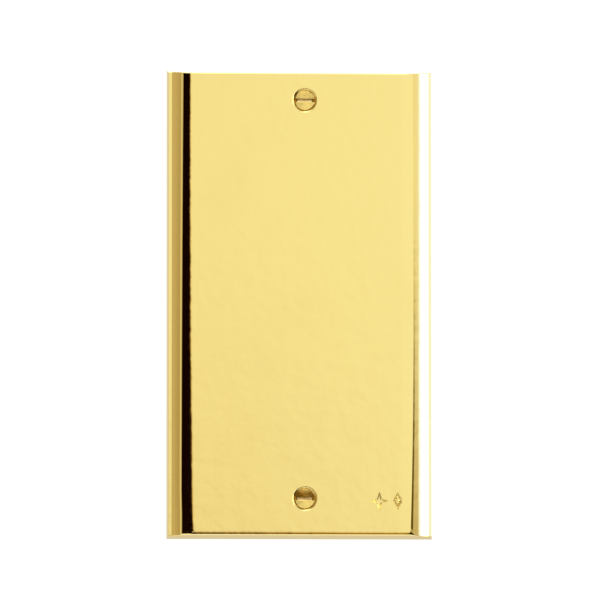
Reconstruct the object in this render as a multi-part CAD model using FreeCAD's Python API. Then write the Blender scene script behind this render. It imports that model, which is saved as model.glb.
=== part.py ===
"""Solid brass plate with moulded long sides, held to a door by two countersunk slotted wood screws.

Frame: millimetres, +Z up, the face looks towards -Y, the origin is at the middle of the flat back.
"Depth" below means the distance in front of the back, so a point at depth d has y = -d.
"""

import FreeCAD, Part
import math
import os

from FreeCAD import Vector

# Plate, outside
PLATE_WIDTH = 85.0
PLATE_HEIGHT = 150.0
PLATE_THICKNESS = 6.4
END_SLOPE = 1.12           # how far each end leans in, from the back to the face
END_ROUND = 0.5            # radius where the face turns over each end

# Moulding along each long side, from the outside in: lip, hollow, quirk, roll-off
LIP_HEIGHT = 4.4
LIP_SLOPE = 0.4
LIP_WIDTH = 1.0
LEFT_HOLLOW_WIDTH = 2.5
RIGHT_HOLLOW_WIDTH = 4.1
HOLLOW_RISE = 1.1
HOLLOW_SAG = 0.12          # how far the hollow dips below its own chord
QUIRK_WIDTH = 0.45         # the quirk is the short steep wall above the hollow
QUIRK_RISE = 0.6
ROLL_WIDTH = 3.8           # the roll-off is an arc that meets the flat face tangentially

# Screw holes: both lie on one upright line a little right of centre, and a little high
HOLE_X = 1.4
HOLE_MIDDLE_Z = 1.45
HOLE_SPACING = 127.5
HOLE_RADIUS = 1.85
SINK_RADIUS = 3.7          # mouth of the 90 degree countersink

# Number 6 slotted countersunk wood screw, 1 inch long
NECK_RADIUS = 1.78         # the shank narrows a little from here to the plate's back
SHANK_RADIUS = 1.75
HEAD_RADIUS = 3.15
HEAD_BELOW_FACE = 0.35
HEAD_LAND = 0.12           # short upright rim of the head, above its cone
SLOT_WIDTH = 1.03
SLOT_DEPTH = 0.9
SCREW_LENGTH = 25.4
PLAIN_LENGTH = 8.6         # head and plain shank together
THREAD_PITCH = 1.41
CORE_RADIUS = 1.15
TAPER_LENGTH = 5.0         # the last stretch, which narrows to the point
POINT_RADIUS = 0.12

# Two punched ornaments, low on the right of the face
STAR_X = 25.2
LOZENGE_X = 31.0
ORNAMENT_Z = -63.0
ORNAMENT_DEPTH = 0.25
STAR_POINTS = 4
STAR_RADIUS = 2.6
STAR_WAIST = 0.85
LOZENGE_HALF_HEIGHT = 2.6
LOZENGE_HALF_WIDTH = 1.3
LOZENGE_STROKE = 0.55      # share of the lozenge left standing in its middle

MARGIN = 1.0               # how far a cutting tool runs past the surface that it cuts

HALF_WIDTH = PLATE_WIDTH / 2
HALF_HEIGHT = PLATE_HEIGHT / 2
HOLE_HEIGHTS = {
    "top_screw": HOLE_MIDDLE_Z + HOLE_SPACING / 2,
    "bottom_screw": HOLE_MIDDLE_Z - HOLE_SPACING / 2,
}


def at(x, depth, z=0.0):
    """The point x across, depth in front of the back, and z up."""
    return Vector(x, -depth, z)


def side_edges(side, hollow_width, z):
    """One moulded side's edges from the back up to the flat face. side is -1 for left, 1 for right."""
    back_corner = at(side * HALF_WIDTH, 0, z)
    lip_outer_x = HALF_WIDTH - LIP_SLOPE
    lip_inner_x = lip_outer_x - LIP_WIDTH
    hollow_top_x = lip_inner_x - hollow_width
    hollow_top = LIP_HEIGHT + HOLLOW_RISE
    arris_x = hollow_top_x - QUIRK_WIDTH
    arris_depth = hollow_top + QUIRK_RISE
    roll_drop = PLATE_THICKNESS - arris_depth
    face_x = arris_x - ROLL_WIDTH

    lip_outer = at(side * lip_outer_x, LIP_HEIGHT, z)
    lip_inner = at(side * lip_inner_x, LIP_HEIGHT, z)
    hollow_end = at(side * hollow_top_x, hollow_top, z)
    arris = at(side * arris_x, arris_depth, z)
    face_edge = at(side * face_x, PLATE_THICKNESS, z)

    chord = math.hypot(hollow_width, HOLLOW_RISE)
    sag_x = (lip_inner_x + hollow_top_x) / 2 - HOLLOW_SAG * HOLLOW_RISE / chord
    sag_depth = (LIP_HEIGHT + hollow_top) / 2 - HOLLOW_SAG * hollow_width / chord
    hollow_middle = at(side * sag_x, sag_depth, z)

    roll_radius = (ROLL_WIDTH ** 2 + roll_drop ** 2) / (2 * roll_drop)
    middle_angle = math.asin(ROLL_WIDTH / roll_radius) / 2
    roll_middle_x = face_x + roll_radius * math.sin(middle_angle)
    roll_middle_depth = PLATE_THICKNESS - roll_radius * (1 - math.cos(middle_angle))
    roll_middle = at(side * roll_middle_x, roll_middle_depth, z)

    edges = [
        Part.LineSegment(back_corner, lip_outer).toShape(),
        Part.LineSegment(lip_outer, lip_inner).toShape(),
        Part.Arc(lip_inner, hollow_middle, hollow_end).toShape(),
        Part.LineSegment(hollow_end, arris).toShape(),
        Part.Arc(arris, roll_middle, face_edge).toShape(),
    ]
    return back_corner, face_edge, edges


def moulded_bar():
    """The plate's cross-section, drawn out along its height."""
    left_back, left_face, left = side_edges(-1, LEFT_HOLLOW_WIDTH, -HALF_HEIGHT)
    right_back, right_face, right = side_edges(1, RIGHT_HOLLOW_WIDTH, -HALF_HEIGHT)
    face = Part.LineSegment(left_face, right_face).toShape()
    back = Part.LineSegment(right_back, left_back).toShape()
    outline = Part.Wire(left + [face] + right[::-1] + [back])
    return Part.Face(outline).extrude(Vector(0, 0, PLATE_HEIGHT))


def end_envelope():
    """A block as tall as the plate, whose ends lean in and turn over softly into the face."""
    corners = [
        at(-HALF_WIDTH - MARGIN, 0, -HALF_HEIGHT),
        at(-HALF_WIDTH - MARGIN, 0, HALF_HEIGHT),
        at(-HALF_WIDTH - MARGIN, PLATE_THICKNESS, HALF_HEIGHT - END_SLOPE),
        at(-HALF_WIDTH - MARGIN, PLATE_THICKNESS, -HALF_HEIGHT + END_SLOPE),
    ]
    outline = Part.makePolygon(corners + corners[:1])
    block = Part.Face(outline).extrude(Vector(PLATE_WIDTH + 2 * MARGIN, 0, 0))
    front_edges = [edge for edge in block.Edges if is_end_front_edge(edge)]
    return block.makeFillet(END_ROUND, front_edges)


def is_end_front_edge(edge):
    """True for the two long edges where the block's front meets its ends."""
    box = edge.BoundBox
    return box.XLength > PLATE_WIDTH and box.YMax < -PLATE_THICKNESS / 2


def countersunk_hole(z):
    """The tool that cuts one screw hole, from in front of the face to behind the back."""
    front = SINK_RADIUS + MARGIN
    profile = Part.makePolygon([
        Vector(HOLE_X, -PLATE_THICKNESS - MARGIN, z),
        Vector(HOLE_X + front, -PLATE_THICKNESS - MARGIN, z),
        Vector(HOLE_X + HOLE_RADIUS, -PLATE_THICKNESS + SINK_RADIUS - HOLE_RADIUS, z),
        Vector(HOLE_X + HOLE_RADIUS, MARGIN, z),
        Vector(HOLE_X, MARGIN, z),
        Vector(HOLE_X, -PLATE_THICKNESS - MARGIN, z),
    ])
    return Part.Face(profile).revolve(Vector(HOLE_X, 0, z), Vector(0, 1, 0), 360)


def punched_outline(points):
    """A shallow punch in the face with the outline of the (x, z) points."""
    floor = PLATE_THICKNESS - ORNAMENT_DEPTH
    corners = [at(x, floor, z) for x, z in points]
    outline = Part.makePolygon(corners + corners[:1])
    return Part.Face(outline).extrude(Vector(0, -ORNAMENT_DEPTH - MARGIN, 0))


def star_punch():
    """A star with sharp points and a narrow waist."""
    points = []
    for step in range(2 * STAR_POINTS):
        radius = STAR_WAIST if step % 2 else STAR_RADIUS
        angle = math.pi * step / STAR_POINTS
        points.append((STAR_X + radius * math.sin(angle), ORNAMENT_Z + radius * math.cos(angle)))
    return punched_outline(points)


def lozenge_points(scale):
    """The corners of the lozenge, or of a smaller one at the same place."""
    half_width = LOZENGE_HALF_WIDTH * scale
    half_height = LOZENGE_HALF_HEIGHT * scale
    return [
        (LOZENGE_X, ORNAMENT_Z + half_height),
        (LOZENGE_X + half_width, ORNAMENT_Z),
        (LOZENGE_X, ORNAMENT_Z - half_height),
        (LOZENGE_X - half_width, ORNAMENT_Z),
    ]


def lozenge_punch():
    """A lozenge punched as an outline, with its middle left standing."""
    outer = punched_outline(lozenge_points(1.0))
    middle = punched_outline(lozenge_points(LOZENGE_STROKE))
    return outer.cut(middle)


def plate():
    """The whole brass plate."""
    body = moulded_bar().common(end_envelope())
    for z in HOLE_HEIGHTS.values():
        body = body.cut(countersunk_hole(z))
    return body.cut(star_punch()).cut(lozenge_punch())


def thread_radius(radius, from_tip):
    """A thread radius, narrowed in proportion along the tapered end of the screw."""
    share = min(1.0, from_tip / TAPER_LENGTH)
    return POINT_RADIUS + (radius - POINT_RADIUS) * share


def screw_outline():
    """(radius, distance behind the head's face) along the outside of a screw."""
    cone_end = HEAD_LAND + HEAD_RADIUS - NECK_RADIUS
    back_plane = PLATE_THICKNESS - HEAD_BELOW_FACE
    points = [
        (0, 0),
        (HEAD_RADIUS, 0),
        (HEAD_RADIUS, HEAD_LAND),
        (NECK_RADIUS, cone_end),
        (SHANK_RADIUS, back_plane),
        (SHANK_RADIUS, PLAIN_LENGTH),
    ]
    thread_length = SCREW_LENGTH - PLAIN_LENGTH
    turns = round(thread_length / THREAD_PITCH)
    pitch = thread_length / turns
    for turn in range(turns):
        start = PLAIN_LENGTH + turn * pitch
        for share, radius in ((0.3, CORE_RADIUS), (0.6, CORE_RADIUS), (0.9, SHANK_RADIUS)):
            along = start + share * pitch
            points.append((thread_radius(radius, SCREW_LENGTH - along), along))
    points.append((0, SCREW_LENGTH))
    return points


def screw(z):
    """One slotted screw, seated in the hole at height z with its slot level."""
    head_y = -PLATE_THICKNESS + HEAD_BELOW_FACE
    corners = [Vector(HOLE_X + radius, head_y + along, z) for radius, along in screw_outline()]
    outline = Part.makePolygon(corners + corners[:1])
    turned = Part.Face(outline).revolve(Vector(HOLE_X, 0, z), Vector(0, 1, 0), 360)
    slot_length = 2 * (HEAD_RADIUS + MARGIN)
    slot_corner = Vector(HOLE_X - slot_length / 2, head_y - MARGIN, z - SLOT_WIDTH / 2)
    slot = Part.makeBox(slot_length, SLOT_DEPTH + MARGIN, SLOT_WIDTH, slot_corner)
    return turned.cut(slot)


def write(name, shape):
    """Writes one node's STEP file and prints its size."""
    box = shape.BoundBox
    solids = len(shape.Solids)
    print(f"{name}: {solids} solid, valid {shape.isValid()}, volume {shape.Volume:.1f} mm3, "
          f"{box.XLength:.2f} x {box.YLength:.2f} x {box.ZLength:.2f} mm")
    shape.exportStep(f"parts/{name}.step")


os.makedirs("parts", exist_ok=True)
write("plate", plate())
for screw_name, screw_z in HOLE_HEIGHTS.items():
    write(screw_name, screw(screw_z))
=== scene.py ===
"""Looks of the mirror-polished brass door plate and its two slotted screws.

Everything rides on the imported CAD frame: +Z up, the face looks towards -Y, the back lies at y = 0.
Sizes are in millimetres until a mesh is made. On the plate, "depth" is the distance in front of the
back. On a screw, it is the distance behind the flat top of the head.
"""

import math

import bmesh
import bpy
import numpy as np
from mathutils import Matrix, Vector


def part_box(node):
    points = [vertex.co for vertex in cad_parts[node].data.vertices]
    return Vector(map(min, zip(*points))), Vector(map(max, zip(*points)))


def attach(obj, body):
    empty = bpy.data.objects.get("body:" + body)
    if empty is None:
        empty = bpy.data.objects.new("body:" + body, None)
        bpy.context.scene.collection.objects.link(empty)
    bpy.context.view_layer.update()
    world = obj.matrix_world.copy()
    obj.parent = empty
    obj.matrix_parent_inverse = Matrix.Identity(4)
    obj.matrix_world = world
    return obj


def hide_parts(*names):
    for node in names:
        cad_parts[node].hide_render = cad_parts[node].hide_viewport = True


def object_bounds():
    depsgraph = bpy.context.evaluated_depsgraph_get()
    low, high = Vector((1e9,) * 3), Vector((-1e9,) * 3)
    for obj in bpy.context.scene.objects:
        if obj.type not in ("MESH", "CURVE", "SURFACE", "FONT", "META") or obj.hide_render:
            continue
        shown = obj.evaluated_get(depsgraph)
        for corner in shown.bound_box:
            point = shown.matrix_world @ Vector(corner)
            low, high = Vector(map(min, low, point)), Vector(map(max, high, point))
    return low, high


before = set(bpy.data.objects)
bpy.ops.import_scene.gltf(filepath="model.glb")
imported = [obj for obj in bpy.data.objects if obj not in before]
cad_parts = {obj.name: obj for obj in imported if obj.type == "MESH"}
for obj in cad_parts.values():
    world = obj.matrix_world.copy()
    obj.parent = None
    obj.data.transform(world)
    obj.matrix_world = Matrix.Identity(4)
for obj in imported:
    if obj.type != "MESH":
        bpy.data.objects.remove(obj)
cad_low, cad_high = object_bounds()

MM = 0.001

# ---- sizes that the frame gives ----
PLATE_LOW, PLATE_HIGH = (np.array(corner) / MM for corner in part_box("plate"))
HALF_WIDTH = (PLATE_HIGH[0] - PLATE_LOW[0]) / 2
HALF_HEIGHT = (PLATE_HIGH[2] - PLATE_LOW[2]) / 2
THICKNESS = -PLATE_LOW[1]

# ---- section of a long side, from the outside in: side, lip, hollow, quirk, arris, rolled edge ----
LIP_HEIGHT = 4.4
LIP_SLOPE = 0.4  # the side leans in by this much on its way up to the lip
HOLLOW_RISE = 1.1  # the foot of the quirk stands this much higher than the lip
HOLLOW_SAG = 0.12  # and the hollow sags this much below the straight line between them
QUIRK_WIDTH = 0.45
QUIRK_HOLLOW = 0.02  # the quirk sags this much, so it steepens towards the arris
HOLLOWEST_SHARE = 0.6  # where on the quirk's way up it sags the most
STEEP_WIDTH = 0.52  # widest that the steep part of a quirk gets where the arris has strayed
HEEL_SLOPE = math.tan(math.radians(21.5))  # slope of the rest of it
ROLL_WIDTH = 3.8
FADE_WIDTH = 7.5  # mesh lines of the face follow a straying arris over this distance


class Side:
    """How one long side differs from the other: its moulding and the marks of hand polishing.

    The functions take a height that runs from -1 at the foot of the plate to 1 at its top.
    """

    def __init__(self, lip_width, hollow_width, lip_fall, soften, stray, arris_angle, roll_width,
                 foot_follows, roll_follows):
        self.lip_fall = lip_fall  # the lip's outer edge is lower by this much
        self.soften = soften  # spread of the polish: lip edge, lip, heel, arris
        self.stray = stray  # how far in from its place the arris lies
        self.arris_angle = arris_angle  # slope of the face at the arris, in degrees
        self.roll_width = roll_width  # width of the face's rolled edge
        self.foot_follows = foot_follows  # share of the straying at the quirk's foot
        self.roll_follows = roll_follows  # and at the roll's inner edge
        self.lip_inner = LIP_SLOPE + lip_width
        self.hollow_top = self.lip_inner + hollow_width
        self.arris = self.hollow_top + QUIRK_WIDTH
        self.face = self.arris + ROLL_WIDTH

    def roll_drop(self, distance_in, height):
        """How far the rolled edge of the face lies below the face."""
        width = self.roll_width(height)
        share = np.clip(1 - (distance_in - self.arris) / width, 0, 1)
        return math.tan(math.radians(self.arris_angle(height))) * width / 2 * share ** 2

    def strayed(self, distance_in, height):
        """Where a line at a distance in lies, once the straying of the arris has moved it."""
        marks = [self.lip_inner, self.hollow_top, self.arris, self.face, self.face + FADE_WIDTH]
        follow = np.interp(distance_in, marks, [0, self.foot_follows, 1, self.roll_follows, 0])
        return distance_in + follow * self.stray(height)


def smooth_step(value):
    """0 below 0, 1 above 1, and an S-shaped rise between."""
    value = np.clip(value, 0, 1)
    return value * value * (3 - 2 * value)


def left_stray(height):
    """How far in the left arris lies: it has been polished back more towards the top."""
    return 0.17 + 0.25 * height + 0.1 * height ** 2 + 0.15 * smooth_step((-height - 0.8) / 0.1)


def left_roll_width(height):
    """Width of the left rolled edge, which widens downwards and most in the bottom corner."""
    worn_corner = np.clip((-height - 0.91) / 0.09, 0, 1) ** 1.5
    return ROLL_WIDTH + 0.4 * smooth_step((-height - 0.05) / 0.95) + 0.8 * worn_corner


def right_stray(height):
    """How far in the right arris lies: it bows, and the bottom corner has been worn away."""
    bow = 0.25 * (height - 0.3) ** 2 + 0.1 * max(height, 0) ** 2 + 0.62 * max(-height, 0) ** 3
    worn_corner = np.clip((-height - 0.955) / 0.045, 0, 1) ** 2
    return 0.34 + bow + 1.1 * worn_corner


LEFT = Side(
    lip_width=1.12, hollow_width=2.38, lip_fall=0.0, soften=(0.02, 0.02, 0.04, 0.08),
    stray=left_stray, arris_angle=lambda height: 9, roll_width=left_roll_width,
    foot_follows=1, roll_follows=0,
)
RIGHT = Side(
    lip_width=1.0, hollow_width=4.1, lip_fall=0.12, soften=(0.02, 0.04, 0.08, 0.004),
    stray=right_stray, arris_angle=lambda height: 5 - 3 * smooth_step((-height - 0.2) / 0.6),
    roll_width=lambda height: ROLL_WIDTH, foot_follows=0, roll_follows=1,
)

# ---- ends ----
END_SLOPE = 1.12  # an end leans in by this much between the back and the face
LIP_ROUND = 0.22  # radius of the round on the lower mouldings
CRISP_DEPTH = LIP_HEIGHT + HOLLOW_RISE  # up to this depth the ends have no soft fall
SOFT_DEPTH = THICKNESS - 0.35  # and from this depth on they have all of it
FALL_STEPS = 8  # mesh steps over the soft fall
ROUND_STEPS = 8  # and over the round
END_SHARES = (0.1, 0.3, 0.3, 0.3)  # and down the sloping end, as shares of its length


class End:
    """How the polishing has rounded one end of the face."""

    def __init__(self, radius, fall_length, left_fall, right_fall):
        self.radius = radius
        self.fall_length = fall_length  # the face starts to fall this far before the round
        self.left_fall = math.radians(left_fall)  # and has this slope there
        self.right_fall = math.radians(right_fall)

    def fall_angle(self, x):
        """Slope of the face where the round begins, x across the plate."""
        share = (x + HALF_WIDTH) / (2 * HALF_WIDTH)
        return self.left_fall + (self.right_fall - self.left_fall) * share


BOTTOM = End(radius=0.5, fall_length=0.8, left_fall=11, right_fall=9)
TOP = End(radius=0.2, fall_length=0.5, left_fall=4, right_fall=4)

# ---- holes ----
SINK_RADIUS = 3.7
SINK_RIM = 0.5  # radius of the softened rim of a countersink
RIM_RINGS = 8  # mesh rings over that rim
HOLE_RADIUS = 1.85
BACK_RINGS = 3  # outermost rings of a hole, which lie flat on the back
BACK_RADIUS = 3.4  # radius of the last of them
PATCH_HALF = 5.0  # half a side of the square of mesh that is rebuilt round each hole

# ---- screws ----
HEAD_RADIUS = 3.15
HEAD_LAND = 0.12  # height of the straight edge round the head
HEAD_EDGE = 0.06  # radius that softens the edge of the top
HEAD_COLUMNS = 41  # mesh points across the head
HEAD_SLOPES = {"top_screw": (2, 0.5), "bottom_screw": (8.5, 1)}  # see dish
CONE_SHARES = (0.0, 0.35, 0.7, 1.0)  # mesh rings down the cone of the head
NECK_RADIUS = 1.78
SHANK_RADIUS = 1.75
SLOT_HALF = 0.515  # half the width of the slot
SLOT_DEPTH = 0.9
PLAIN_LENGTH = 8.6  # from the top of the head to the start of the thread
THREAD_PITCH = 1.41
THREAD_STEP = 0.094  # mesh rings along the thread, 15 to a turn
CREST_HALF = 0.04  # half the width of the crest, as a share of the pitch
FLANK_WIDTH = 0.2  # width of one flank, as a share of the pitch
CORE_RADIUS = 1.15
TAPER_LENGTH = 5.0
POINT_RADIUS = 0.12

# ---- punched ornaments ----
STAR_X = 25.2
LOZENGE_X = 31.0
ORNAMENT_Z = -63.0
ORNAMENT_DEPTH = 0.25
ORNAMENT_WALL = 0.22  # width of a punch mark's sloping wall
STAR_POINTS = 4
STAR_RADIUS = 2.6
STAR_WAIST = 0.85
LOZENGE_HALF_HEIGHT = 2.6
LOZENGE_HALF_WIDTH = 1.3
LOZENGE_STROKE = 0.55  # size of the lozenge's inner outline as a share of the outer one

# ---- mesh spacing ----
# heights of the sides' sections, closest together in the worn bottom corners
SECTION_HEIGHTS = np.concatenate([np.linspace(-1, -0.9, 21)[:-1], np.linspace(-0.9, 1, 20)])
SECTION_STEP = 0.01  # along a side's section, before it is thinned
CORNER_REACH = 3  # close points reach this many spreads from a section's corner
CORNER_STEP = 0.75  # and are this many spreads apart
PLAIN_STEP = 0.4  # elsewhere the points are this far apart
WIDE_STEP = 3  # on the plain face
LEVEL_STEP = 0.8  # above the top screw and below the bottom one
FINE_STEP = 0.3  # near the rolled edges and at the foot of the face
FOOT_BAND = 4  # height of that foot
HOLE_STEP = 0.42  # beside the holes
MARK_STEP = 0.13  # over the punched ornaments
MARGIN_BEFORE, MARGIN_AFTER = 0.4, 0.3  # a close mesh reaches this far past what needs it
END_GRIP = 8  # larger keeps the bending of level mesh lines closer to the ends
JOIN_DISTANCE = 2e-7  # metres between points that count as one
SHORTEST_EDGE = 1e-7  # metres
SHARP_ANGLE = 22  # degrees; an edge that turns by more is shaded sharp
TINY = 1e-6  # keeps a division from dividing by zero


# ==== Mesh tools ====

def make_piece(name, points, faces, body, nodes, materials, face_materials):
    """Makes a mesh piece that rides a body and stands for its CAD nodes. points are in mm."""
    mesh = bpy.data.meshes.new(name)
    corners = [tuple(int(number) for number in face) for face in faces]
    mesh.from_pydata([tuple(point) for point in np.asarray(points) * MM], [], corners)
    for material in materials:
        mesh.materials.append(material)
    mesh.polygons.foreach_set("material_index", face_materials)
    piece = bpy.data.objects.new(name, mesh)
    bpy.context.scene.collection.objects.link(piece)
    clean_mesh(mesh)
    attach(piece, body)
    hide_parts(*nodes)


def clean_mesh(mesh):
    """Joins points that coincide, turns every face outwards, and shades the mesh smooth."""
    work = bmesh.new()
    work.from_mesh(mesh)
    bmesh.ops.remove_doubles(work, verts=work.verts, dist=JOIN_DISTANCE)
    bmesh.ops.dissolve_degenerate(work, edges=work.edges, dist=SHORTEST_EDGE)
    bmesh.ops.recalc_face_normals(work, faces=work.faces)
    work.to_mesh(mesh)
    work.free()
    mesh.shade_smooth()
    mesh.set_sharp_from_angle(angle=math.radians(SHARP_ANGLE))


def grid_faces(index):
    """Quads of a 2-D array of point numbers, as an array of rows and columns of quads."""
    return np.stack([index[:-1, :-1], index[1:, :-1], index[1:, 1:], index[:-1, 1:]], axis=-1)


def strip(outer, inner):
    """Quads between two closed rings of point numbers."""
    return list(zip(outer, outer[1:] + outer[:1], inner[1:] + inner[:1], inner))


def spread(start, end, step):
    """Evenly spaced values or points from start to end, at most step apart, without the last one."""
    count = max(1, math.ceil(np.linalg.norm(np.subtract(end, start)) / step))
    return np.linspace(start, end, count + 1)[:-1]


def add_points(points, new):
    """Adds rows of points to the list and returns their numbers."""
    start = len(points)
    points.extend(new)
    return list(range(start, len(points)))


def circle(centre, angles, radii, y):
    """Points round the axis of a hole or a screw, at angles from straight up towards the right."""
    return np.stack([
        centre[0] + radii * np.sin(angles),
        np.broadcast_to(y, angles.shape),
        centre[1] + radii * np.cos(angles),
    ], axis=1)


# ==== Plate ====

FACE, ENDS, BACK, SINK = 0, 1, 2, 3  # the plate's materials, by number


def sharp_section(side, height):
    """A moulded side at one height as closely spaced (distance in, depth) points, and its corners.

    Every height gives the same number of points.
    """
    arris_depth = THICKNESS - side.roll_drop(side.arris, height)
    lip_edge = np.array([LIP_SLOPE, LIP_HEIGHT - side.lip_fall])
    lip_inner = np.array([side.lip_inner, LIP_HEIGHT])
    quirk_foot = np.array([side.hollow_top, LIP_HEIGHT + HOLLOW_RISE])
    overrun = 0.5  # the section starts below the back and ends inside the flat face
    side_run = spread(-overrun * lip_edge / LIP_HEIGHT, lip_edge, SECTION_STEP)
    lip = spread(lip_edge, lip_inner, SECTION_STEP)
    hollow = spread(lip_inner, quirk_foot, SECTION_STEP)
    share = (hollow[:, 0] - side.lip_inner) / (side.hollow_top - side.lip_inner)
    hollow[:, 1] -= 4 * HOLLOW_SAG * share * (1 - share)

    # Where the arris has strayed from the quirk's foot, the quirk has a gentle heel and a steep top.
    width = QUIRK_WIDTH + (1 - side.foot_follows) * side.stray(height)
    heel_share = max(0.0, 1 - STEEP_WIDTH / width)
    heel_depth = quirk_foot[1] + HEEL_SLOPE * width * heel_share
    share = spread(0, 1, SECTION_STEP)
    steep_share = (share - heel_share) / (1 - heel_share)
    quirk_depth = np.where(share < heel_share, quirk_foot[1] + HEEL_SLOPE * width * share,
                           heel_depth + (arris_depth - heel_depth) * steep_share)
    quirk_depth += QUIRK_HOLLOW * np.interp(steep_share, [0, HOLLOWEST_SHARE, 1], [0, -1, 0])
    quirk = np.stack([side.hollow_top + QUIRK_WIDTH * share, quirk_depth], axis=1)
    rolled = np.arange(side.arris, side.face + overrun, SECTION_STEP)
    roll = np.stack([rolled, THICKNESS - side.roll_drop(rolled, height)], axis=1)

    points = np.concatenate([side_run, lip, hollow, quirk, roll])
    heel = (side.hollow_top + QUIRK_WIDTH * heel_share, heel_depth)
    corners = np.array([lip_edge, lip_inner, heel, (side.arris, arris_depth)])
    for line in (points, corners):
        line[:, 0] = side.strayed(line[:, 0], height)
    return points, corners


def polished_section(side, height, kept=None):
    """The side's section with its corners softened by polishing, and the numbers of its points.

    The points are those in kept, or the ones that this height's section needs.
    """
    sharp, corners = sharp_section(side, height)
    along = np.concatenate([[0], np.cumsum(np.hypot(*np.diff(sharp, axis=0).T))])
    reach = np.hypot(sharp[:, None, 0] - corners[None, :, 0], sharp[:, None, 1] - corners[None, :, 1])
    spreads = reach / np.array(side.soften)
    softness = np.array(side.soften)[np.argmin(spreads, axis=1)]
    if kept is None:
        inner_edge = side.strayed(side.face, height)
        inside = np.nonzero((sharp[:, 1] >= 0) & (sharp[:, 0] <= inner_edge))[0]
        at_corner = spreads.min(axis=1) < CORNER_REACH
        spacing = np.where(at_corner, CORNER_STEP * softness, PLAIN_STEP)
        kept = inside[thinned(along[inside], spacing[inside])]
    weights = np.exp(-((along[kept, None] - along[None, :]) / softness[kept, None]) ** 2 / 2)
    soft = weights @ sharp / weights.sum(axis=1, keepdims=True)
    soft[0] = (0, 0)
    soft[-1] = (side.strayed(side.face, height), THICKNESS - side.roll_drop(side.face, height))
    return soft, kept


def thinned(along, spacing):
    """Numbers of fewer points along a line, never further apart than the spacing there."""
    kept = [0]
    for number in range(1, len(along) - 1):
        if along[number + 1] - along[kept[-1]] > min(spacing[number], spacing[kept[-1]]):
            kept.append(number)
    return np.array(kept + [len(along) - 1])


def end_curve(end, depth, fall_angle, raised):
    """(run, drop) along one line over an end: the soft fall, the round, and the sloping end itself.

    run starts at 0 where the surface starts to fall, drop is how far it has come down. raised is 1 on
    the face and 0 on the lower mouldings, which the polishing has left crisper.
    """
    lean = math.atan2(THICKNESS, END_SLOPE)
    fall_angle *= raised
    radius = min(LIP_ROUND + (end.radius - LIP_ROUND) * raised, 0.3 * depth)
    angles = np.linspace(0, fall_angle, FALL_STEPS + 1)
    fall_steps = np.full(FALL_STEPS, end.fall_length / FALL_STEPS) * min(1, depth / LIP_HEIGHT)
    middle = (angles[1:] + angles[:-1]) / 2
    runs = list(fall_steps * np.cos(middle))
    drops = list(fall_steps * np.sin(middle))
    turns = np.linspace(fall_angle, lean, ROUND_STEPS + 1)
    runs += list(radius * np.diff(np.sin(turns)))
    drops += list(-radius * np.diff(np.cos(turns)))
    left_over = (depth - sum(drops)) / math.sin(lean)
    for share in END_SHARES:
        runs.append(share * left_over * math.cos(lean))
        drops.append(share * left_over * math.sin(lean))
    return np.concatenate([[0], np.cumsum(runs)]), np.concatenate([[0], np.cumsum(drops)])


def polygon_distance(x, z, corners):
    """Signed distance from points to a polygon's outline: negative inside."""
    distance = np.full(x.shape, np.inf)
    inside = np.zeros(x.shape, bool)
    for (x0, z0), (x1, z1) in zip(corners, corners[1:] + corners[:1]):
        run_x, run_z = x1 - x0, z1 - z0
        share = ((x - x0) * run_x + (z - z0) * run_z) / (run_x ** 2 + run_z ** 2)
        share = np.clip(share, 0, 1)
        distance = np.minimum(distance, np.hypot(x - x0 - share * run_x, z - z0 - share * run_z))
        if z0 != z1:
            crosses = (z0 > z) != (z1 > z)
            inside ^= crosses & (x < x0 + (z - z0) * run_x / run_z)
    return np.where(inside, -distance, distance)


def star_corners():
    """The star's outline as (x, z) corners."""
    corners = []
    for step in range(2 * STAR_POINTS):
        radius = STAR_WAIST if step % 2 else STAR_RADIUS
        angle = math.pi * step / STAR_POINTS
        corners.append((STAR_X + radius * math.sin(angle), ORNAMENT_Z + radius * math.cos(angle)))
    return corners


def lozenge_corners(scale):
    """The lozenge's outline, or a smaller one inside it, as (x, z) corners."""
    width, height = LOZENGE_HALF_WIDTH * scale, LOZENGE_HALF_HEIGHT * scale
    return [(LOZENGE_X, ORNAMENT_Z + height), (LOZENGE_X + width, ORNAMENT_Z),
            (LOZENGE_X, ORNAMENT_Z - height), (LOZENGE_X - width, ORNAMENT_Z)]


def punch_depth(x, z):
    """How deep the two punch marks are at each point of the face.

    A mark's sloping wall starts a third of its width outside the outline.
    """
    star = polygon_distance(x, z, star_corners())
    outer = polygon_distance(x, z, lozenge_corners(1.0))
    inner = polygon_distance(x, z, lozenge_corners(LOZENGE_STROKE))
    outline = np.minimum(star, np.maximum(outer, -inner))
    return ORNAMENT_DEPTH * smooth_step((ORNAMENT_WALL / 3 - outline) / ORNAMENT_WALL)


def hole_centres():
    """(x, z) of each screw hole, by screw."""
    centres = {}
    for name in ("top_screw", "bottom_screw"):
        low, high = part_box(name)
        centres[name] = ((low.x + high.x) / 2 / MM, (low.z + high.z) / 2 / MM)
    return centres


def face_columns():
    """x of the mesh lines on the face, between the rolled edges."""
    face_start = LEFT.face - HALF_WIDTH
    face_end = HALF_WIDTH - RIGHT.face
    roll_end = face_start + LEFT.roll_width(-1) - ROLL_WIDTH + MARGIN_BEFORE
    hole_x = hole_centres()["top_screw"][0]
    marks_start = STAR_X - STAR_RADIUS - MARGIN_BEFORE
    marks_end = LOZENGE_X + LOZENGE_HALF_WIDTH + MARGIN_AFTER
    return np.concatenate([
        spread(face_start, roll_end, FINE_STEP),
        spread(roll_end, hole_x - PATCH_HALF, WIDE_STEP),
        spread(hole_x - PATCH_HALF, hole_x + PATCH_HALF, HOLE_STEP),
        spread(hole_x + PATCH_HALF, marks_start, WIDE_STEP),
        spread(marks_start, marks_end, MARK_STEP),
        spread(marks_end, face_end, FINE_STEP),
    ])[1:]


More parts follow.
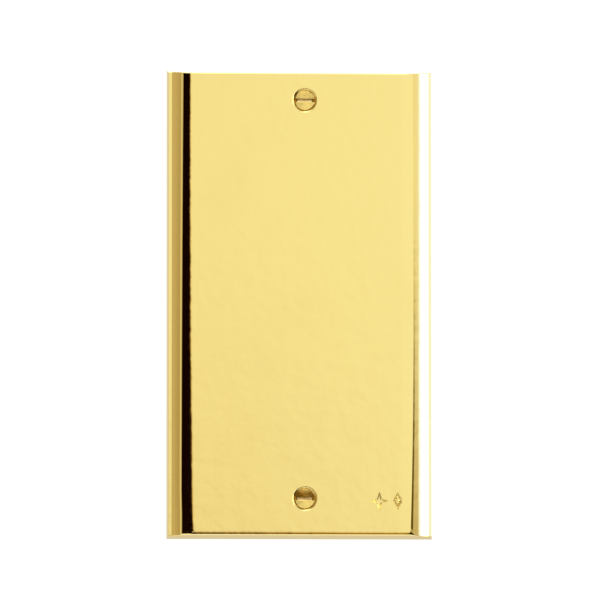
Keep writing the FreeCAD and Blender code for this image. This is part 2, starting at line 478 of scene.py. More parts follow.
def plate_columns():
    """x and depth of every upright mesh line at each section height: [height, (x, depth), line]."""
    face = face_columns()
    left_kept, right_kept = (polished_section(side, 0)[1] for side in (LEFT, RIGHT))
    tables = []
    for height in SECTION_HEIGHTS:
        left = polished_section(LEFT, height, left_kept)[0]
        right = polished_section(RIGHT, height, right_kept)[0][::-1]
        x, depth = face.copy(), face.copy()
        for side, outwards in ((LEFT, -1), (RIGHT, 1)):
            here = face * outwards > 0
            distance_in = HALF_WIDTH - abs(face[here])
            x[here] = outwards * (HALF_WIDTH - side.strayed(distance_in, height))
            depth[here] = THICKNESS - side.roll_drop(distance_in, height)
        tables.append([
            np.concatenate([left[:, 0] - HALF_WIDTH, x, HALF_WIDTH - right[:, 0]]),
            np.concatenate([left[:, 1], depth, right[:, 1]]),
        ])
    return np.array(tables)


def plate_rows(flat_end):
    """Heights of the level mesh lines between the two soft ends of the face.

    The ornaments stand beside the bottom screw, so the lines are closest there.
    """
    centres = hole_centres()
    top, bottom = centres["top_screw"][1], centres["bottom_screw"][1]
    return np.concatenate([
        spread(-flat_end, -flat_end + FOOT_BAND, FINE_STEP),
        spread(-flat_end + FOOT_BAND, bottom - PATCH_HALF, LEVEL_STEP),
        spread(bottom - PATCH_HALF, bottom + PATCH_HALF, MARK_STEP),
        spread(bottom + PATCH_HALF, top - PATCH_HALF, WIDE_STEP),
        spread(top - PATCH_HALF, top + PATCH_HALF, HOLE_STEP),
        spread(top + PATCH_HALF, flat_end, LEVEL_STEP),
        [flat_end],
    ])


def front_surface():
    """Points of the front, sides and ends, [column, row, xyz], and how many rows each end takes."""
    tables = plate_columns()
    flat_end = HALF_HEIGHT - end_curve(BOTTOM, THICKNESS, BOTTOM.left_fall, 1)[0][-1]
    rows = plate_rows(flat_end)
    share = (rows + flat_end) / (2 * flat_end)
    end_rows = len(end_curve(BOTTOM, THICKNESS, 0, 1)[0]) - 1
    points = np.zeros((tables.shape[2], len(rows) + 2 * end_rows, 3))
    for column, (x, depth) in enumerate(tables.transpose(2, 1, 0)):
        curves = []
        for end, end_x, end_depth in ((BOTTOM, x[0], depth[0]), (TOP, x[-1], depth[-1])):
            raised = float(np.interp(end_depth, [CRISP_DEPTH, SOFT_DEPTH], [0, 1]))
            curves.append(end_curve(end, end_depth, end.fall_angle(end_x), raised))
        (low_run, low_drop), (high_run, high_drop) = curves
        low_end = -(HALF_HEIGHT - low_run[-1])
        high_end = HALF_HEIGHT - high_run[-1]
        # the level lines bend near the ends, to meet the place where this line starts to fall
        bent = rows + (low_end + flat_end) * (1 - share) ** END_GRIP
        bent = bent + (high_end - flat_end) * share ** END_GRIP
        z = np.concatenate([low_end - low_run[:0:-1], bent, high_end + high_run[1:]])
        fallen = np.concatenate([low_drop[:0:-1] / max(depth[0], TINY), np.zeros(len(rows)),
                                 high_drop[1:] / max(depth[-1], TINY)])
        points[column, :, 0] = np.interp(z / HALF_HEIGHT, SECTION_HEIGHTS, x)
        points[column, :, 1] = -np.interp(z / HALF_HEIGHT, SECTION_HEIGHTS, depth) * (1 - fallen)
        points[column, :, 2] = z
    return points, end_rows


def square_range(values, centre):
    """First and last index of the sorted values that span the hole's square of mesh."""
    edges = (centre - PATCH_HALF, centre + PATCH_HALF)
    return [int(np.argmin(np.abs(values - edge))) for edge in edges]


def square_loop(index, columns, rows):
    """Point numbers round the edge of a square of mesh, in order."""
    (c0, c1), (r0, r1) = columns, rows
    return [*index[c0:c1, r0], *index[c1, r0:r1], *index[c1:c0:-1, r1], *index[c0, r1:r0:-1]]


def hole_profile():
    """(radius, depth) down one hole, from the flat face to the flat back."""
    sink_angle = 45
    rim_start = SINK_RADIUS + SINK_RIM * math.tan(math.radians(sink_angle / 2))
    profile = [(rim_start + 0.25, THICKNESS)]
    for angle in np.radians(np.linspace(0, sink_angle, RIM_RINGS)):
        profile.append((rim_start - SINK_RIM * math.sin(angle),
                        THICKNESS - SINK_RIM * (1 - math.cos(angle))))
    sink_foot = THICKNESS - (SINK_RADIUS - HOLE_RADIUS)
    half_way = 2.9  # radius about half-way down the countersink
    profile += [(half_way, sink_foot + half_way - HOLE_RADIUS)]
    profile += [(HOLE_RADIUS + 0.05, sink_foot + 0.05), (HOLE_RADIUS, sink_foot - 0.05)]
    profile += [(HOLE_RADIUS, THICKNESS / 2), (HOLE_RADIUS, 0.1), (HOLE_RADIUS + 0.03, 0.03)]
    profile += [(HOLE_RADIUS + 0.1, 0), (HOLE_RADIUS + 0.4, 0), (BACK_RADIUS, 0)]
    return profile


def hole_mesh(points, front_loop, back_loop, centre):
    """Rings of quads that join the square gaps in the front and the back through one hole."""
    edge = np.array([points[number] for number in front_loop])
    angles = np.arctan2(edge[:, 0] - centre[0], edge[:, 2] - centre[1])
    profile = hole_profile()
    outermost = circle(centre, angles, profile[0][0], edge[:, 1])
    rings = [front_loop, add_points(points, (edge + outermost) / 2)]
    for radius, depth in profile:
        rings.append(add_points(points, circle(centre, angles, radius, -depth)))
    rings.append(back_loop)
    face_strips = 1 + RIM_RINGS
    sink_strips = len(rings) - 1 - face_strips - BACK_RINGS
    kinds_down = [FACE] * face_strips + [SINK] * sink_strips + [BACK] * BACK_RINGS
    faces, kinds = [], []
    for kind, outer, inner in zip(kinds_down, rings, rings[1:]):
        faces += strip(outer, inner)
        kinds += [kind] * len(outer)
    return faces, kinds


def build_plate(materials):
    """Makes the plate: moulded front, leaning ends, flat back and two countersunk holes."""
    front, end_rows = front_surface()
    front[:, :, 1] += punch_depth(front[:, :, 0], front[:, :, 2])
    column_count, row_count = front.shape[:2]
    points = [point for column in front for point in column]
    index = np.arange(len(points)).reshape(column_count, row_count)

    # The back has a row for each row of the front between the ends, and shares its outermost points.
    back_index = index[:, end_rows:row_count - end_rows].copy()
    back_index[:, 0], back_index[:, -1] = index[:, 0], index[:, -1]
    z = front[0, end_rows + 1:row_count - end_rows - 1, 2]
    for column in range(1, column_count - 1):
        foot, head = front[column, 0], front[column, -1]
        share = (z - foot[2]) / (head[2] - foot[2])
        line = np.stack([foot[0] + (head[0] - foot[0]) * share, np.zeros(len(z)), z], axis=1)
        back_index[column, 1:-1] = add_points(points, line)

    front_quads = grid_faces(index)
    back_quads = grid_faces(back_index)
    front_kept = np.ones(front_quads.shape[:2], bool)
    back_kept = np.ones(back_quads.shape[:2], bool)
    faces, kinds = [], []
    middle_row = row_count // 2
    for centre in hole_centres().values():
        c0, c1 = square_range(front[:, middle_row, 0], centre[0])
        r0, r1 = square_range(front[column_count // 2, :, 2], centre[1])
        front_kept[c0:c1, r0:r1] = False
        back_kept[c0:c1, r0 - end_rows:r1 - end_rows] = False
        front_loop = square_loop(index, (c0, c1), (r0, r1))
        back_loop = square_loop(back_index, (c0, c1), (r0 - end_rows, r1 - end_rows))
        hole_faces, hole_kinds = hole_mesh(points, front_loop, back_loop, centre)
        faces += hole_faces
        kinds += hole_kinds

    filed_rows = len(END_SHARES)
    front_kinds = np.full(front_kept.shape, FACE)
    front_kinds[:, :filed_rows] = ENDS
    front_kinds[:, -filed_rows:] = ENDS
    faces += list(front_quads[front_kept]) + list(back_quads[back_kept][:, ::-1])
    kinds += list(front_kinds[front_kept]) + [BACK] * int(back_kept.sum())
    make_piece("brass_plate", points, faces, "plate", ["plate"], materials, kinds)


# ==== Screws ====

HEAD, SLOT, SHANK = 0, 1, 2  # a screw's materials, by number


def head_radius_at(depth):
    """Radius of the head's land and cone, at a depth below its flat top."""
    return HEAD_RADIUS - np.clip(depth - HEAD_LAND, 0, None)


def dish(z, slopes):
    """How far a screw's face sinks towards the slot, z above the slot's middle.

    slopes are the slopes of the upper and the lower half beside the slot, in degrees. They fade to
    nothing at the edge of the head.
    """
    slope = math.tan(math.radians(slopes[0] if z > 0 else slopes[1]))
    share = abs(z) / HEAD_RADIUS
    return slope * HEAD_RADIUS * (1 - share - (1 - share ** 5) / 5)


def head_rows(slopes):
    """(z, depth, share of the slot's depth, material) of each level line over the head."""
    slot_angle = math.asin((SLOT_HALF + 0.08) / HEAD_RADIUS)
    upper = HEAD_RADIUS * np.sin(np.linspace(math.pi / 2, slot_angle, 16))
    rows = [(z, 0.0, HEAD) for z in upper]
    rows.append((SLOT_HALF + 0.045, 0.0, HEAD))
    # one wall of the slot: a worn edge, a steep side and a small fillet at the foot
    for z, share in ((0.03, 0.004), (0.012, 0.02), (0.0, 0.08), (-0.01, 0.5), (-0.02, 0.9),
                     (-0.05, 0.97), (-0.12, 1.0), (-0.3, 1.0)):
        rows.append((SLOT_HALF + z, share, SLOT))
    rows += [(-z, share, kind) for z, share, kind in rows[::-1]]
    made = []
    for z, share, kind in rows:
        top = dish(z, slopes)
        made.append((z, top + (SLOT_DEPTH - top) * share, share, kind))
    return made


def head_surface(centre, head_y, slopes):
    """Points of the head's top and slot as [row, column, xyz], with each row's material."""
    closer_to_rim = 0.85
    shares = np.sin(np.linspace(-math.pi / 2, math.pi / 2, HEAD_COLUMNS))
    shares = np.sign(shares) * np.abs(shares) ** closer_to_rim
    points, kinds = [], []
    for z, depth, share, kind in head_rows(slopes):
        reach = math.sqrt(max(0.0, float(head_radius_at(depth)) ** 2 - z * z))
        across = shares * reach
        from_axis = np.hypot(across, z)
        over = np.clip(from_axis - (HEAD_RADIUS - HEAD_EDGE), 0, HEAD_EDGE)
        edge_drop = HEAD_EDGE - np.sqrt(HEAD_EDGE ** 2 - over ** 2)
        y = head_y + depth + edge_drop * (1 - share)
        level = np.full(HEAD_COLUMNS, centre[1] + z)
        points.append(np.stack([centre[0] + across, y, level], axis=1))
        kinds.append(kind)
    return np.array(points), kinds


def thread_radius(turn_angle, along, length):
    """Radius of the threaded stretch at an angle round the screw, this far along it from its top."""
    taper = np.clip((length - along) / TAPER_LENGTH, 0, 1)
    run_out = np.clip((along - PLAIN_LENGTH) / THREAD_PITCH, 0, 1)
    turns = (along - PLAIN_LENGTH) / THREAD_PITCH - turn_angle / (2 * math.pi)
    from_crest = np.abs(turns % 1.0 - 0.5)
    ridge = np.clip(1 - (from_crest - CREST_HALF) / FLANK_WIDTH, 0, 1)
    crest = POINT_RADIUS + (SHANK_RADIUS - POINT_RADIUS) * taper
    core = POINT_RADIUS / 2 + (CORE_RADIUS - POINT_RADIUS / 2) * taper ** 0.8
    core = SHANK_RADIUS + (core - SHANK_RADIUS) * run_out
    return np.minimum(core, crest) + (crest - np.minimum(core, crest)) * ridge


def build_screw(name, slopes, materials):
    """Makes one slotted wood screw with a helical thread, in place of its CAD node."""
    low, high = (np.array(corner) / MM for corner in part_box(name))
    centre = ((low[0] + high[0]) / 2, (low[2] + high[2]) / 2)
    head_y, length = low[1], high[1] - low[1]
    top, row_kinds = head_surface(centre, head_y, slopes)
    row_count, column_count = top.shape[:2]
    points = [point for row in top for point in row]
    index = np.arange(len(points)).reshape(row_count, column_count)
    faces, kinds = [], []
    for row, quads in enumerate(grid_faces(index)):
        faces += list(quads)
        kinds += [max(row_kinds[row], row_kinds[row + 1])] * len(quads)

    # The rim's points run down the right of the head and back up the left.
    rings = [list(index[:, -1]) + list(index[-2:0:-1, 0])]
    rim = np.array([points[number] for number in rings[0]])
    angles = np.arctan2(rim[:, 0] - centre[0], rim[:, 2] - centre[1])
    rim_depth = rim[:, 1] - head_y
    cone_end = HEAD_LAND + HEAD_RADIUS - NECK_RADIUS
    back_plane = -head_y
    for share in CONE_SHARES:
        start = np.maximum(rim_depth, HEAD_LAND)
        depth = start + (cone_end - start) * share
        ring = circle(centre, angles, head_radius_at(depth), head_y + depth)
        rings.append(add_points(points, ring))
    for along in (cone_end + 0.15, back_plane / 2, back_plane):
        radius = np.interp(along, [cone_end, back_plane], [NECK_RADIUS, SHANK_RADIUS])
        rings.append(add_points(points, circle(centre, angles, radius, head_y + along)))
    for along in np.arange(PLAIN_LENGTH - 0.2, length - 0.01, THREAD_STEP):
        ring = circle(centre, angles, thread_radius(angles, along, length), head_y + along)
        rings.append(add_points(points, ring))
    tip = add_points(points, [np.array([centre[0], head_y + length, centre[1]])])[0]
    head_strips = 1 + len(CONE_SHARES)
    for number, (upper, lower) in enumerate(zip(rings, rings[1:])):
        faces += strip(upper, lower)
        kinds += [SLOT if number < head_strips else SHANK] * len(rim)
    last = rings[-1]
    faces += [(here, tip, after) for here, after in zip(last, last[1:] + last[:1])]
    kinds += [SHANK] * len(rim)
    make_piece(f"{name}_brass", points, faces, name, [name], materials, kinds)


# ==== Materials ====

class Nodes:
    """Short calls for building a node tree."""

    def __init__(self, tree):
        self.tree = tree
        tree.nodes.clear()

    def add(self, kind, **settings):
        node = self.tree.nodes.new(kind)
        for key, value in settings.items():
            setattr(node, key, value)
        return node

    def plug(self, value, socket):
        """Links an output to the socket, or sets the socket to a plain value."""
        if isinstance(value, bpy.types.NodeSocket):
            self.tree.links.new(value, socket)
        else:
            socket.default_value = value

    def feed(self, node, **values):
        """Plugs values other than None into a node's inputs by name, with _ for a space."""
        for name, value in values.items():
            if value is not None:
                self.plug(value, node.inputs[name.replace("_", " ")])

    def math(self, operation, first, second=0.0):
        node = self.add("ShaderNodeMath", operation=operation)
        self.plug(first, node.inputs[0])
        self.plug(second, node.inputs[1])
        return node.outputs[0]

    def ramp(self, value, low, high, to_low=0.0, to_high=1.0):
        """A smooth change from to_low to to_high as value goes from low to high."""
        node = self.add("ShaderNodeMapRange", interpolation_type="SMOOTHSTEP")
        self.feed(node, Value=value, From_Min=low, From_Max=high, To_Min=to_low, To_Max=to_high)
        return node.outputs[0]

    def mix(self, share, first, second):
        """A colour share of the way from first to second."""
        node = self.add("ShaderNodeMix", data_type="RGBA")
        self.plug(share, node.inputs[0])
        self.plug(first, node.inputs[6])
        self.plug(second, node.inputs[7])
        return node.outputs[2]

    def noise(self, vector, scale, detail=2.0, roughness=0.5, stretch=(1, 1, 1)):
        mapping = self.add("ShaderNodeMapping")
        self.feed(mapping, Vector=vector, Scale=stretch)
        node = self.add("ShaderNodeTexNoise")
        self.feed(node, Vector=mapping.outputs[0], Scale=scale, Detail=detail, Roughness=roughness)
        return node.outputs[0]

    def bump(self, height, distance, under=None):
        node = self.add("ShaderNodeBump")
        self.feed(node, Height=height, Distance=distance, Normal=under)
        return node.outputs[0]


BRASS = (0.905, 0.715, 0.245, 1)
TARNISHED = (0.86, 0.63, 0.19, 1)
GROUND_BRASS = (0.80, 0.60, 0.27, 1)
STAINED = (0.52, 0.34, 0.14, 1)
# the countersink's colours, darker and browner than the face; the darkening is partly dried polish
# and partly painted shade of the gap round the head
SINK_BRASS = (0.84, 0.56, 0.12, 1)
SINK_RESIDUE_AND_SHADE = (0.48, 0.28, 0.03, 1)
HEAD_BRASS = (0.94, 0.70, 0.20, 1)
HEAD_TARNISH = (0.86, 0.60, 0.14, 1)
# the slot's colours; the dark one stands for dried polish and for painted shade in the slot
SLOT_BRASS = (0.84, 0.62, 0.24, 1)
SLOT_RESIDUE_AND_SHADE = (0.30, 0.16, 0.02, 1)
SHANK_BRASS = (0.84, 0.64, 0.27, 1)
SHANK_TARNISH = (0.60, 0.41, 0.15, 1)
RING_FREQUENCY = 34000  # lathe rings on the heads, in radians per metre: one every 0.18 mm


def new_material(name, build, metallic=1.0):
    """A material. build(nodes, place) returns its colour, roughness and normal, if it has one.

    The builds below give noise scales per metre, and the distances of bumps in metres.
    """
    material = bpy.data.materials.new(name)
    material.use_nodes = True
    nodes = Nodes(material.node_tree)
    place = nodes.add("ShaderNodeTexCoord").outputs["Object"]
    colour, roughness, normal = build(nodes, place)
    shader = nodes.add("ShaderNodeBsdfPrincipled")
    nodes.feed(shader, Metallic=metallic, Base_Color=colour, Roughness=roughness, Normal=normal)
    nodes.feed(nodes.add("ShaderNodeOutputMaterial"), Surface=shader.outputs[0])
    return material


def polished(nodes, place):
    """Mirror polish by hand: faint waves, fine hairlines and a breath of tarnish."""
    waves = nodes.noise(place, 90, detail=1.5)
    ripples = nodes.noise(place, 300, detail=1.0)
    hairlines = nodes.noise(place, 2600, detail=3.0, roughness=0.7, stretch=(1, 1, 0.08))
    tarnish = nodes.noise(place, 38, detail=4.0, roughness=0.6)
    colour = nodes.mix(nodes.ramp(tarnish, 0.52, 0.8, 0.0, 0.22), BRASS, TARNISHED)
    roughness = nodes.math("ADD", nodes.ramp(hairlines, 0.35, 0.75, 0.035, 0.06),
                           nodes.ramp(tarnish, 0.4, 0.8, 0.0, 0.02))
    normal = nodes.bump(waves, 0.00002)
    normal = nodes.bump(ripples, 0.000012, normal)
    normal = nodes.bump(hairlines, 0.0000006, normal)
    return colour, roughness, normal


def filed(nodes, place):
    """The leaning ends: draw-filed lengthwise and then lightly buffed."""
    strokes = nodes.noise(place, 1400, detail=3.0, roughness=0.65, stretch=(0.03, 1, 1))
    tarnish = nodes.noise(place, 60, detail=3.0)
    colour = nodes.mix(nodes.ramp(tarnish, 0.45, 0.8, 0.0, 0.35), BRASS, TARNISHED)
    roughness = nodes.ramp(strokes, 0.3, 0.7, 0.16, 0.26)
    return colour, roughness, nodes.bump(strokes, 0.000004)


def linished(nodes, place):
    """The back: belt-ground, dull, with casting pits and handling stains."""
    strokes = nodes.noise(place, 900, detail=4.0, roughness=0.7, stretch=(1, 1, 0.02))
    pits = nodes.noise(place, 700)
    stains = nodes.noise(place, 28, detail=5.0, roughness=0.62)
    colour = nodes.mix(nodes.ramp(stains, 0.42, 0.72, 0.0, 0.75), GROUND_BRASS, STAINED)
    roughness = nodes.math("ADD", nodes.ramp(strokes, 0.3, 0.7, 0.28, 0.42),
                           nodes.ramp(stains, 0.4, 0.8, 0.0, 0.1))
    normal = nodes.bump(strokes, 0.000018)
    normal = nodes.bump(nodes.ramp(pits, 0.22, 0.34), 0.00004, normal)
    return colour, roughness, normal


def from_axis(nodes, place, centre):
    """Distance from a screw's axis, in metres."""
    parts = nodes.add("ShaderNodeSeparateXYZ")
    nodes.plug(place, parts.inputs[0])
    x = nodes.math("SUBTRACT", parts.outputs[0], centre[0] * MM)
    z = nodes.math("SUBTRACT", parts.outputs[2], centre[1] * MM)
    squares = nodes.math("ADD", nodes.math("MULTIPLY", x, x), nodes.math("MULTIPLY", z, z))
    return nodes.math("SQRT", squares)


def turned_head(centre):
    """A lathe-turned screw head: fine rings round the axis, under a light buffing."""
    def build(nodes, place):
        reach = from_axis(nodes, place, centre)
        wander = nodes.noise(place, 900)
        turned = nodes.math("MULTIPLY", reach, RING_FREQUENCY)
        rings = nodes.math("SINE", nodes.math("ADD", turned, nodes.math("MULTIPLY", wander, 5.0)))
        marks = nodes.noise(place, 1500, detail=3.0, roughness=0.7)
        colour = nodes.mix(nodes.ramp(marks, 0.42, 0.75, 0.0, 0.8), HEAD_BRASS, HEAD_TARNISH)
        roughness = nodes.ramp(marks, 0.3, 0.8, 0.08, 0.17)
        normal = nodes.bump(rings, 0.0000022)
        normal = nodes.bump(marks, 0.000006, normal)
        return colour, roughness, normal
    return build


def sawn_slot(centre):
    """The slot and the cone of a head: rough saw marks, darkened in patches by dried polish and by
    painted shade of the recess, with painted shade deepest at the slot's ends.
    """
    def build(nodes, place):
        strokes = nodes.noise(place, 2600, detail=3.0, roughness=0.7, stretch=(0.08, 1, 1))
        residue_and_shade_noise = nodes.noise(place, 1300, detail=3.0)
        reach = from_axis(nodes, place, centre)
        # painted shade: a ring 2.3 to 3 mm from the axis darkens the slot's ends
        painted_end_shade = nodes.math("MULTIPLY", nodes.ramp(reach, 0.0023, 0.0026),
                             nodes.ramp(reach, 0.0027, 0.0030, 1.0, 0.2))
        # patches of dried polish and painted shade of the slot, never less than a tenth of the dark
        # colour, joined by the painted shade at the ends
        residue_and_shade = nodes.math("MAXIMUM", nodes.ramp(residue_and_shade_noise, 0.35, 0.7, 0.1, 0.6), painted_end_shade)
        colour = nodes.mix(residue_and_shade, SLOT_BRASS, SLOT_RESIDUE_AND_SHADE)
        roughness = nodes.ramp(strokes, 0.3, 0.7, 0.25, 0.42)
        return colour, roughness, nodes.bump(strokes, 0.00002)
    return build


def countersink(nodes, place):
    """The countersinks and bores: turned, then browned in patches that stand for dried polish the
    buff cannot reach and for painted shade of the gap round the head.
    """
    residue_and_shade_noise = nodes.noise(place, 900, detail=4.0, roughness=0.6)
    # painted shade: every part of the countersink takes at least a tenth of the dark colour
    colour = nodes.mix(nodes.ramp(residue_and_shade_noise, 0.35, 0.7, 0.1, 0.9), SINK_BRASS, SINK_RESIDUE_AND_SHADE)
    roughness = nodes.ramp(residue_and_shade_noise, 0.3, 0.7, 0.22, 0.36)
    return colour, roughness, nodes.bump(residue_and_shade_noise, 0.00001)


def rolled_shank(nodes, place):
    """The shank and thread: drawn brass, slightly dull, tarnished in patches."""
    drawn = nodes.noise(place, 1500, detail=3.0, roughness=0.6, stretch=(1, 0.05, 1))
    tarnish = nodes.noise(place, 420, detail=4.0, roughness=0.6)
    colour = nodes.mix(nodes.ramp(tarnish, 0.4, 0.75, 0.0, 0.7), SHANK_BRASS, SHANK_TARNISH)
    roughness = nodes.ramp(tarnish, 0.3, 0.75, 0.17, 0.33)
    return colour, roughness, nodes.bump(drawn, 0.00001)


def pale(nodes, place):
    """The floor: matt and almost white."""
    return (0.93, 0.94, 0.96, 1), 0.8, None


# ==== Studio ====

FLAG_LEFT = -20  # azimuth in degrees, like all directions in the studio
FLAG_EDGE = -3.3  # azimuth where the flag ends at FLAG_TOP
FLAG_SLANT = 1.3  # it reaches this much further across for each degree down
FLAG_FOOT, FLAG_TOP = 0.3, 5.0  # elevations between which its edge slants
FRINGE_WIDTH = 1.2  # of the warm light along that edge
FLAG_BLACK = (0.0065, 0.0012, 0.0001, 1)
BACKDROP_STRENGTH = 1.05  # what the camera sees round the plate


def studio_world():
    """A white studio as the brass sees it: cards and flags placed by direction from the plate.

    Azimuth 0 is straight in front of the face, positive to the right. Elevation 0 is level.
    """
    world = bpy.data.worlds.new("studio")
    world.use_nodes = True
    bpy.context.scene.world = world
    nodes = Nodes(world.node_tree)
    direction = nodes.add("ShaderNodeTexCoord").outputs["Generated"]
    parts = nodes.add("ShaderNodeSeparateXYZ")
    nodes.plug(direction, parts.inputs[0])
    x, y, z = parts.outputs
    to_degrees = math.degrees(1)
    ahead = nodes.math("MULTIPLY", y, -1.0)
    azimuth = nodes.math("MULTIPLY", nodes.math("ARCTAN2", x, ahead), to_degrees)
    elevation = nodes.math("MULTIPLY", nodes.math("ARCSINE", z), to_degrees)

    def window(value, low, high, soft):
        """1 between low and high, 0 outside, with soft edges."""
        rise = nodes.ramp(nodes.math("SUBTRACT", value, low), -soft, soft)
        fall = nodes.ramp(nodes.math("SUBTRACT", value, high), -soft, soft, 1.0, 0.0)
        return nodes.math("MULTIPLY", rise, fall)

    def card(below, colour, across, up, soft_across=1.5, soft_up=2.0):
        """Lays one card over what is already there."""
        share = nodes.math("MULTIPLY", window(azimuth, *across, soft_across),
                           window(elevation, *up, soft_up))
        return nodes.mix(share, below, colour)

    def shade(value, low, high, low_colour, high_colour):
        """A colour that changes smoothly as value goes from low to high."""
        return nodes.mix(nodes.ramp(value, low, high), low_colour + (1,), high_colour + (1,))

    # the room: pale, brighter behind the plate, darker high on the right, with a white table below
    seen = shade(elevation, -25, 5, (0.75, 0.72, 0.69), (0.90, 0.90, 0.88))
    seen = card(seen, (1.25, 1.25, 1.25, 1), (120, 181), (-2, 90), 10)
    for across in ((120, 181), (-181, -120)):
        seen = card(seen, (1.9, 1.9, 1.9, 1), across, (9, 90), 10, 5)
    seen = card(seen, (0.55, 0.50, 0.42, 1), (12, 120), (17, 80), 6, 5)
    seen = card(seen, (0.78, 0.74, 0.62, 1), (-181, -130), (-2, 90), 10)
    seen = card(seen, (1.12, 1.20, 1.50, 1), (-181, 181), (-91, -37), 1, 4)
    # right: the wall, a doorway that is darker lower down, and the big softbox in its own glow
    wall = shade(elevation, 2.0, 4.5, (0.62, 0.55, 0.43), (0.98, 0.98, 1.05))
    seen = card(seen, wall, (38, 90), (-30, 60), 5)
    doorway = shade(elevation, 1.9, 4.6, (0.13, 0.09, 0.008), (1.0, 0.96, 0.88))
    seen = card(seen, doorway, (51, 130), (-0.6, 22), 3, 0.8)
    seen = card(seen, (1.04, 1.22, 2.3, 1), (15.5, 41.5), (-10, 14), 2.5, 3)
    seen = card(seen, (5.0, 5.0, 5.0, 1), (20.5, 37.5), (-10, 14), 1.5, 3)
    # left: a pale wall far round, then the warm wall, which is paler low down
    seen = card(seen, (0.78, 0.72, 0.64, 1), (-130, -84), (-50, 60), 4)
    warm = shade(azimuth, -68, -22, (0.48, 0.39, 0.245), (0.655, 0.56, 0.44))
    warm = nodes.mix(nodes.ramp(elevation, -20, -8, 1.0, 0.0), warm, (0.92, 0.90, 0.86, 1))
    seen = card(seen, warm, (-84, -20), (-50, 60), 3)
    # in front: the white card that the face mirrors, brighter up and to the right
    front = shade(elevation, 0.5, 4.5, (0.90, 0.85, 0.80), (1.02, 1.03, 1.05))
    glow = nodes.ramp(azimuth, 2.4, 5.0, 0.0, 0.5)
    front = nodes.mix(glow, front, (1.09, 1.18, 1.32, 1))
    seen = card(seen, front, (-4, 15.5), (-6.5, 18), 1.5, 1.5)
    # the overhead softbox in front of the plate
    seen = card(seen, (3.6, 3.6, 3.6, 1), (-15, 12), (20, 70), 4, 3)
    # below the camera, the dark edge of the table under a warm strip
    table_edge = shade(azimuth, 2.4, 4.6, (0.045, 0.02, 0.003), (0.54, 0.33, 0.07))
    table_edge = nodes.mix(nodes.ramp(azimuth, 6.0, 10.0), table_edge, (0.04, 0.02, 0.002, 1))
    seen = card(seen, (0.80, 0.50, 0.16, 1), (-3, 90), (-12, -5.2), 3, 0.5)
    seen = card(seen, table_edge, (-3, 90), (-42, -5.6), 3, 0.7)
    # beside the camera a black flag, whose slanting edge reaches further across lower down
    held = nodes.math("MAXIMUM", nodes.math("MINIMUM", elevation, FLAG_TOP), FLAG_FOOT)
    lower = nodes.math("SUBTRACT", FLAG_TOP, held)
    flag_edge = nodes.math("ADD", FLAG_EDGE, nodes.math("MULTIPLY", lower, FLAG_SLANT))
    fringe_edge = nodes.math("ADD", flag_edge, FRINGE_WIDTH)
    seen = card(seen, FLAG_BLACK, (FLAG_LEFT, -1.8), (-18, 2), 0.6, 1)
    seen = card(seen, (0.62, 0.40, 0.15, 1), (FLAG_LEFT, fringe_edge), (-0.3, 24), 1.1, 0.4)
    seen = card(seen, FLAG_BLACK, (FLAG_LEFT, flag_edge), (-0.3, 24), 0.7, 0.4)

    mirrored = nodes.add("ShaderNodeBackground")
    nodes.feed(mirrored, Color=seen)
    backdrop = nodes.add("ShaderNodeBackground")
    nodes.feed(backdrop, Color=(1, 1, 1, 1), Strength=BACKDROP_STRENGTH)
    path = nodes.add("ShaderNodeLightPath")
    chosen = nodes.add("ShaderNodeMixShader")
    nodes.plug(path.outputs["Is Camera Ray"], chosen.inputs[0])
    nodes.plug(mirrored.outputs[0], chosen.inputs[1])
    nodes.plug(backdrop.outputs[0], chosen.inputs[2])
    nodes.feed(nodes.add("ShaderNodeOutputWorld"), Surface=chosen.outputs[0])


FLOOR_BELOW = 0.25  # metres from the plate's foot down to the floor
FLOOR_RADIUS = 60.0
FLOOR_SIDES = 96


def studio_floor():
    """A plain pale floor under the plate, which hangs above it as it would on a door."""
    mesh = bpy.data.meshes.new("floor")
    ring = []
    for number in range(FLOOR_SIDES):
        angle = 2 * math.pi * number / FLOOR_SIDES
        ring.append((FLOOR_RADIUS * math.cos(angle), FLOOR_RADIUS * math.sin(angle),
                     cad_low.z - FLOOR_BELOW))
    mesh.from_pydata(ring, [], [tuple(range(FLOOR_SIDES))])
    mesh.materials.append(new_material("pale_floor", pale, metallic=0.0))
    floor = bpy.data.objects.new("floor", mesh)
    floor.visible_glossy = False
    bpy.context.scene.collection.objects.link(floor)


LAMP_SIZE = 0.8  # metres
LAMP_POWER = 9
LAMP_PLACE = Vector((0.25, -0.35, 1.1))


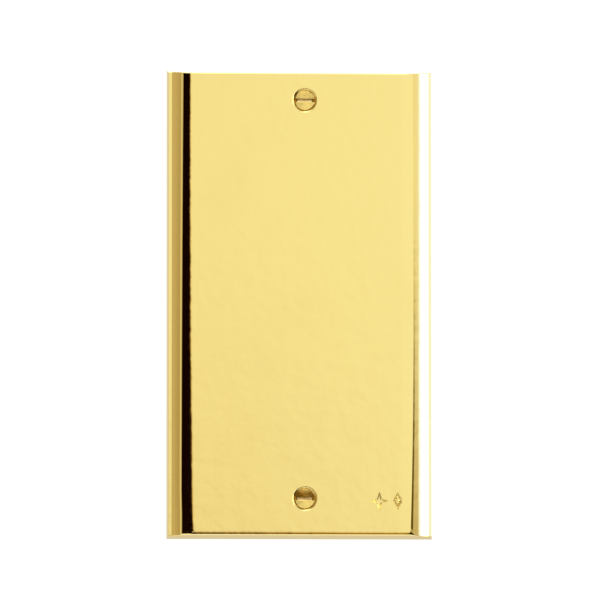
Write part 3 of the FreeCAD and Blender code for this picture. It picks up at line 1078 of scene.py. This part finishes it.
def studio_light():
    """A large soft lamp overhead, which the brass itself doesn't mirror."""
    lamp = bpy.data.lights.new("overhead", "AREA")
    lamp.shape = "DISK"
    lamp.size = LAMP_SIZE
    lamp.energy = LAMP_POWER
    light = bpy.data.objects.new("overhead", lamp)
    light.location = LAMP_PLACE
    light.rotation_euler = (-LAMP_PLACE).to_track_quat("-Z", "Y").to_euler()
    light.visible_glossy = False
    bpy.context.scene.collection.objects.link(light)


CAMERA_DISTANCE = 3.0
CAMERA_AZIMUTH = -3.55  # a little left of the plate's middle
CAMERA_ELEVATION = -3.7  # and a little below it
FRAME_WIDTH = 192.0 * MM  # how much the picture takes in at the plate
AIM = Vector((0.24 * MM, 0, 1.6 * MM))
SENSOR_WIDTH = 36.0
CLIP_END = 200.0  # metres, past the edge of the floor


def camera():
    """A long lens almost square to the face."""
    data = bpy.data.cameras.new("camera")
    data.sensor_width = SENSOR_WIDTH
    data.lens = SENSOR_WIDTH * CAMERA_DISTANCE / FRAME_WIDTH
    data.clip_end = CLIP_END
    eye = bpy.data.objects.new("camera", data)
    azimuth, elevation = math.radians(CAMERA_AZIMUTH), math.radians(CAMERA_ELEVATION)
    back = Vector((math.sin(azimuth) * math.cos(elevation),
                   -math.cos(azimuth) * math.cos(elevation), math.sin(elevation)))
    eye.location = AIM + back * CAMERA_DISTANCE
    eye.rotation_euler = (-back).to_track_quat("-Z", "Y").to_euler()
    bpy.context.scene.collection.objects.link(eye)
    bpy.context.scene.camera = eye


bpy.context.scene.view_settings.view_transform = "Standard"
camera()
studio_world()
studio_light()
studio_floor()

plate_looks = (polished, filed, linished, countersink)  # in the order of FACE, ENDS, BACK, SINK
build_plate([new_material(f"{look.__name__}_brass", look) for look in plate_looks])

shank_brass = new_material("shank_brass", rolled_shank)
for screw_name, screw_centre in hole_centres().items():
    head_brass = new_material(f"{screw_name}_head_brass", turned_head(screw_centre))
    slot_brass = new_material(f"{screw_name}_slot_brass", sawn_slot(screw_centre))
    build_screw(screw_name, HEAD_SLOPES[screw_name], [head_brass, slot_brass, shank_brass])
